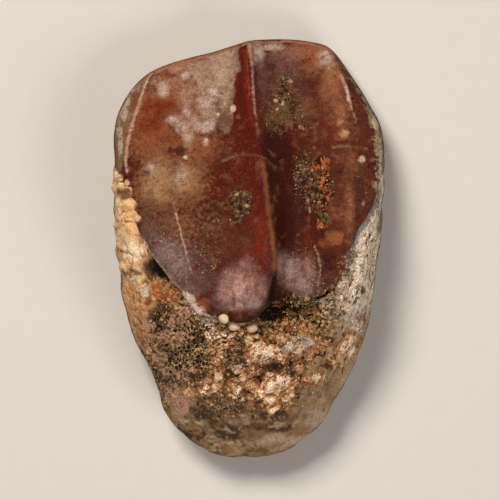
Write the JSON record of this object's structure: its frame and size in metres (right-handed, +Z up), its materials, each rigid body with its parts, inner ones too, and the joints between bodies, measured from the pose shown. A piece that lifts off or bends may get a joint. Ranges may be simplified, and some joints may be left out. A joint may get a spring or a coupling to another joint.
{
  "type": "fossil tooth",
  "caption": "Fossil horned-dinosaur tooth lying on its worn back: a spade-shaped enamel crown with a raised keel and two basal lobes, on a rough root stub.",
  "frame": {"origin": "on the surface the tooth lies on, under the middle of its outline", "axes": "+Y from the root stub to the worn biting edge, +Z up, out of the enamel face with the keel, +X to the right for a viewer who looks down on that face with the biting edge away from them"},
  "size_m": [0.0196, 0.0302, 0.0103],
  "materials": {
    "fossil_tooth": "satin"
  },
  "bodies": {
    "root": {"tooth": "fossil_tooth"}
  },
  "joints": []
}
